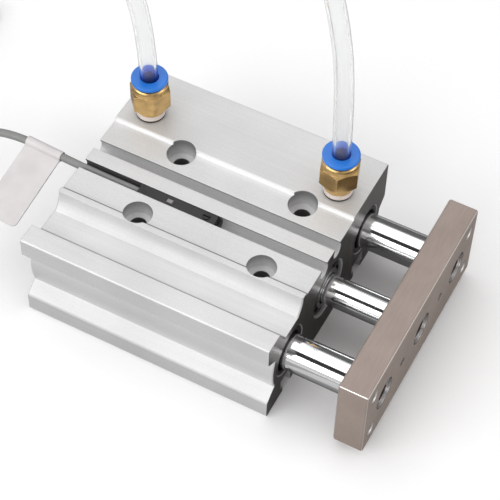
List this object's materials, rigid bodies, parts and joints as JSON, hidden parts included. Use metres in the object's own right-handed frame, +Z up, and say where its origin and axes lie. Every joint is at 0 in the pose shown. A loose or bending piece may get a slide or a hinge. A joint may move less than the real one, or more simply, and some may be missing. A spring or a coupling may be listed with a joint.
{
  "type": "guided pneumatic cylinder",
  "caption": "Compact guided air cylinder: extruded body with twin guide rods, end plate, push-in air fittings and a position switch in a slot.",
  "frame": {"origin": "centre of the four mounting holes, on the flat underside of the body", "axes": "+X along the rods towards the end plate, +Y towards the side with the air ports, +Z up"},
  "size_m": [0.2188, 0.1181, 0.1923],
  "materials": {
    "body_anodised": "satin",
    "cover_aluminium": "satin",
    "seal_rubber": "matte",
    "spring_steel": "satin",
    "bush_bronze": "satin",
    "felt": "matte",
    "plug_steel": "satin",
    "fitting_brass": "gloss",
    "tube_clear": "gloss",
    "release_blue": "gloss",
    "plate_steel": "satin",
    "rod_chrome": "mirror",
    "magnet_black": "matte",
    "wear_resin": "matte",
    "bolt_steel": "satin",
    "switch_black": "matte",
    "screw_steel": "satin",
    "lens_red": "gloss",
    "lead_grey": "matte",
    "core_brown": "matte",
    "core_blue": "matte",
    "tag_white": "satin"
  },
  "bodies": {
    "body": {"barrel_body": "body_anodised", "head_cover": "cover_aluminium", "head_cover_gasket": "seal_rubber", "head_retaining_ring": "spring_steel", "rod_retaining_ring": "spring_steel", "rear_bumper": "seal_rubber", "front_bumper": "seal_rubber", "rod_cover": "cover_aluminium", "rod_cover_gasket": "seal_rubber", "rod_bush": "bush_bronze", "rod_seal": "seal_rubber", "front_bush_near": "bush_bronze", "front_bush_far": "bush_bronze", "rear_bush_near": "bush_bronze", "rear_bush_far": "bush_bronze", "felt_wiper_near": "felt", "felt_wiper_far": "felt", "wiper_holder_near": "spring_steel", "wiper_holder_far": "spring_steel", "side_plug_rear": "plug_steel", "side_plug_front": "plug_steel", "fitting_body_rear": "fitting_brass", "fitting_body_front": "fitting_brass", "tube_seal_rear": "seal_rubber", "tube_seal_front": "seal_rubber", "tube_claw_rear": "spring_steel", "tube_claw_front": "spring_steel", "air_tube_rear": "tube_clear", "air_tube_front": "tube_clear"},
    "rod_assembly": {"end_plate": "plate_steel", "guide_rod_near": "rod_chrome", "guide_rod_far": "rod_chrome", "piston_rod": "rod_chrome", "piston": "cover_aluminium", "piston_seal": "seal_rubber", "piston_magnet": "magnet_black", "piston_wear_ring": "wear_resin", "piston_nut": "plug_steel", "rod_bolt": "bolt_steel", "guide_bolt_near": "bolt_steel", "guide_bolt_far": "bolt_steel"},
    "release_ring_rear": {"release_ring_rear": "release_blue"},
    "release_ring_front": {"release_ring_front": "release_blue"},
    "position_switch": {"switch_body": "switch_black", "switch_clamp": "switch_black", "switch_screw": "screw_steel", "switch_lens": "lens_red", "switch_lead": "lead_grey", "lead_coil": "lead_grey", "core_brown": "core_brown", "core_blue": "core_blue", "lead_tag": "tag_white"}
  },
  "joints": [
    {"name": "rod_slide", "type": "slide", "parent": "body", "child": "rod_assembly", "axis": [1, 0, 0], "range_m": [-0.0164, 0.0336]},
    {"name": "release_ring_rear_press", "type": "slide", "parent": "body", "child": "release_ring_rear", "axis": [0, 0, -1], "range_m": [0, 0.0008], "stiffness_N_per_m": 2000, "springref_m": -0.0005},
    {"name": "release_ring_front_press", "type": "slide", "parent": "body", "child": "release_ring_front", "axis": [0, 0, -1], "range_m": [0, 0.0008], "stiffness_N_per_m": 2000, "springref_m": -0.0005},
    {"name": "switch_slide", "type": "slide", "parent": "body", "child": "position_switch", "axis": [1, 0, 0], "range_m": [-0.018, 0.006]}
  ]
}
